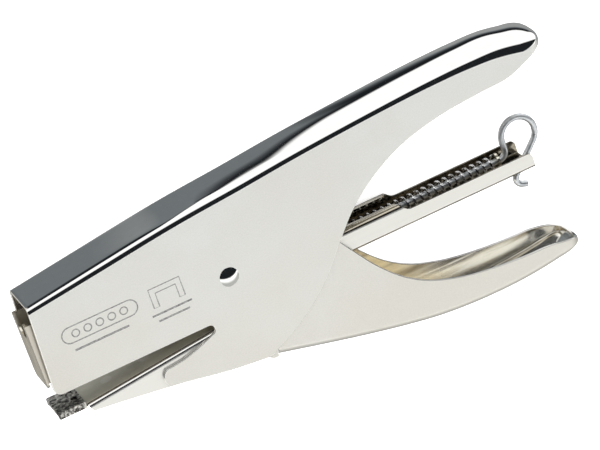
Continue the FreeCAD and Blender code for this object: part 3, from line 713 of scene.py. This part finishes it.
# ---- lower handle -------------------------------------------------------------------------------
FLOOR = ((7, -32.0), (26.1, -36.9), (36.9, -39.5), (47.9, -41.9), (59, -43.9), (70.5, -45.0),
         (82.2, -45.3), (91.1, -45.0), (100.3, -44.1), (107.0, -43.1))
FLOOR_RADIUS = ((0, 2.5), (60, 2.3), (90, 2.2), (112, 2.4))
FLOOR_ARCH = ((0, 0.0), (50, 0.5), (90, 4.0), (112, 8.0))        # degrees at the bend
HANDLE_NOSE = 102.0
HANDLE_TIP = (111.3, -41.0)
HANDLE_HEEL = ((7, -32), (4.4, -31.8), (3.0, -30.4))
ARM_UNDERSIDE = ((3.0, -30.4), (0.5, -22), (-3, -14), (-9.5, -8.6), (-20, -5.4))
ARM_END = ((-58.0, 4.6), (-58.0, 13.6))
ARM_TOP = ((-20, 16.2), (-4, 16.0), (12, 13.5), (26, 7), (33.5, -1.0))
RIM = ((33.5, -1.0), (39.5, -10.2), (46.1, -19.4), (52.6, -26.0), (59.3, -30.4), (67.7, -33.5),
       (82.2, -36.2), (93.1, -37.1), (100.8, -37.4), (107.6, -39.0))


def lower_handle():
    rim = smooth(RIM)
    channel = Channel(FLOOR, rim, HANDLE_HALF, FLOOR_RADIUS, FLOOR_ARCH, HANDLE_NOSE, HANDLE_TIP,
                      up=-1)
    outline = chain(arc(*HANDLE_HEEL)[1:], smooth(ARM_UNDERSIDE), [Vector(p) for p in ARM_END],
                    smooth(ARM_TOP), [p for p in rim if p.x < HANDLE_NOSE - NOSE_GAP])
    return channel.build("handle_sheet", outline)


def finish_sheet(obj, skin, lining, rim, body, node):
    """Thickness and plating of a folded sheet. skin is its outer web and its outer plates."""
    thicken(obj)
    for material in (*skin, lining, lining, rim, rim):
        obj.data.materials.append(material)
    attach(obj, body)
    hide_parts(node)


# ---- springs of a fixed shape that move with their parts ----------------------------------------
COIL_WIRE = 0.42                    # radius
COIL_TURNS = 52
COIL_STEPS, WIRE_STEPS = 18, 8      # rings in a turn, and points in a ring
LEAF = ((-55.5, 4.8), (-52, 4.45), (-48, 3.8), (-41, 1.2), (-31, -2.6), (-27, -2.9), (-23.5, -1.6))
LEAF_THICKNESS = 0.4
LEAF_HALF = 5.0


def finish_spring(mesh, name, material, body, node):
    """Makes the piece from its mesh, in the place of the CAD node."""
    bmesh.ops.recalc_face_normals(mesh, faces=mesh.faces)
    obj = to_object(mesh, name, material)
    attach(obj, body)
    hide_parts(node)
    return obj


def feed_spring(material):
    """The coil between the pusher and its seat, at one fixed length; it moves with the pull rod."""
    low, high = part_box("feed_spring")
    wire = COIL_WIRE * MM
    radius = (high[2] - low[2]) / 2 - wire
    start, end = low[0] + wire, high[0] - wire
    y, z = (low[1] + high[1]) / 2, (low[2] + high[2]) / 2
    mesh = bmesh.new()
    rings = []
    count = COIL_TURNS * COIL_STEPS
    for i in range(count + 1):
        angle = 2 * math.pi * i / COIL_STEPS
        out = Vector((0, math.cos(angle), math.sin(angle)))
        centre = Vector((start + (end - start) * i / count, y, z)) + out * radius
        ring = []
        for k in range(WIRE_STEPS):
            turn = 2 * math.pi * k / WIRE_STEPS
            round_wire = out * math.cos(turn) + Vector((math.sin(turn), 0, 0))
            ring.append(mesh.verts.new(centre + wire * round_wire))
        rings.append(ring)
    for face in tube(mesh, rings):
        face.smooth = True
    obj = finish_spring(mesh, "feed_spring_wire", material, "pull_rod", "feed_spring")
    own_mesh(obj)


def magazine_leaf(material):
    """The leaf under the hammer block, as a strip of fixed curve that moves with the lever."""
    mesh = bmesh.new()
    corners = ((-LEAF_HALF, 0), (LEAF_HALF, 0), (LEAF_HALF, LEAF_THICKNESS),
               (-LEAF_HALF, LEAF_THICKNESS))
    rings = [vertices(mesh, [(p.x, p.y - drop, MIDDLE + aside) for aside, drop in corners])
             for p in smooth(LEAF)]
    tube(mesh, rings)
    obj = finish_spring(mesh, "magazine_leaf_strip", material, "lever", "magazine_leaf")
    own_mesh(obj)


# ---- marks on the side plate --------------------------------------------------------------------
MARK_HEIGHT = 0.04
MARK_DEPTH = 0.03           # how far a mark's foot is sunk into the plate
LINE = 0.5                  # width of a mark's outline
FRAME = (-42.0, 4.6)        # middle of the framed row of rings
FRAME_LENGTH, FRAME_WIDTH = 25.0, 5.2
RINGS = 5
RING_STEP = 4.0
RING_SIZE = 2.4
STAPLE = ((-25.0, 0.9), (-25.0, 7.3), (-14.6, 7.3), (-14.6, 0.9), (-16.4, 0.9), (-16.4, 5.5),
          (-23.2, 5.5), (-23.2, 0.9))
BARS = (((-52.0, -0.6), (-34.0, -0.6), 0.9), ((-26.4, -1.4), (-13.2, -1.4), 0.8),
        ((-25.0, -3.6), (-14.6, -3.6), 0.8))        # from, to and width


def ridge(mesh, line, width, closed):
    """A low ridge along a flat line on the upper side plate, as a closed solid."""
    profile = ((-width / 2, -MARK_DEPTH), (-width / 4, MARK_HEIGHT), (width / 4, MARK_HEIGHT),
               (width / 2, -MARK_DEPTH))
    line = [Vector(p) for p in line]
    count = len(line)
    rings = []
    for i, here in enumerate(line):
        before = line[i - 1] if closed or i else here
        after = line[(i + 1) % count] if closed or i + 1 < count else here
        side = (after - before).orthogonal().normalized()
        rings.append(vertices(mesh, [(here.x + side.x * u, here.y + side.y * u, WIDTH + h)
                                     for u, h in profile]))
    tube(mesh, rings, closed)


def capsule(x, y, length, width, steps=10):
    """Outline with round ends about a middle point."""
    reach, radius = (length - width) / 2, width / 2
    line = []
    for side in (1, -1):
        for k in range(steps + 1):
            angle = math.pi * (k / steps - 0.5)
            line.append((x + side * (reach + radius * math.cos(angle)),
                         y + side * radius * math.sin(angle)))
    return line


def marks():
    """Plain marking instead of the maker's: a framed row of rings, a staple and three bars."""
    mesh = bmesh.new()
    x, y = FRAME
    ridge(mesh, capsule(x, y, FRAME_LENGTH, FRAME_WIDTH), LINE, closed=True)
    for k in range(RINGS):
        ring_x = x + RING_STEP * (k - (RINGS - 1) / 2)
        ridge(mesh, capsule(ring_x, y, RING_SIZE, RING_SIZE), LINE, closed=True)
    ridge(mesh, STAPLE, LINE, closed=True)
    for start, end, width in BARS:
        ridge(mesh, (start, end), width, closed=False)
    bmesh.ops.recalc_face_normals(mesh, faces=mesh.faces)
    obj = to_object(mesh, "plate_marks", etched("etched_marks"))
    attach(obj, "shell")


# ---- the whole scene ----------------------------------------------------------------------------
camera()
studio()
bright = polished("shell_polished", ripple=3e-6)
pearl = satin("shell_satin")
edges = polished("sheet_rim", RIM_NICKEL, roughness=0.08)
inside = polished("shell_inside", DULL_NICKEL, roughness=0.20)
lining = handle_lining("handle_inside")
shell, handle = upper_shell(), lower_handle()
finish_sheet(shell, (bright, pearl), inside, edges, "shell", "upper_shell")
finish_sheet(handle, (pearl, pearl), lining, edges, "lever", "lower_handle")
marks()
dress(bright, "pivot_rivet")
dress(polished("rivet_faces", RIVET_STEEL, roughness=0.30, metallic=0.7), "anvil_rivets")
dress(magazine_sheet("magazine_plating"), "magazine_channel")
dress(zoned_sheet("arm_plating", ARM_WEB, ARM_SIDE, web_metallic=0.80), "anvil_arm")
dress(zoned_sheet("inner_plating", BEIGE_WEB, BEIGE_SIDE, BEIGE_BEND_HIGHLIGHT, web_roughness=0.26,
                  side_roughness=0.32, bend_roughness=0.12),
      "nosepiece", "hammer_block", "pivot_sleeve", "pivot_washers", "pusher_shoe", "pusher_block",
      "spring_seat", "rod_collar")
dress(hardened("hardened_steel"), "anvil")
dress(polished("blade_steel", BLADE_STEEL, roughness=0.18, shade=0.85),
      "driver_blade", "driver_rivets", "hammer_rivets", "spring_pin", "leaf_rivet")
wire = spring_wire("spring_wire")
dress(wire, "return_spring")
feed_spring(wire)
magazine_leaf(wire)
dress(galvanised("galvanised_wire"), "pull_rod")
dress(staple_rows("staple_wire"), "staple_strip")
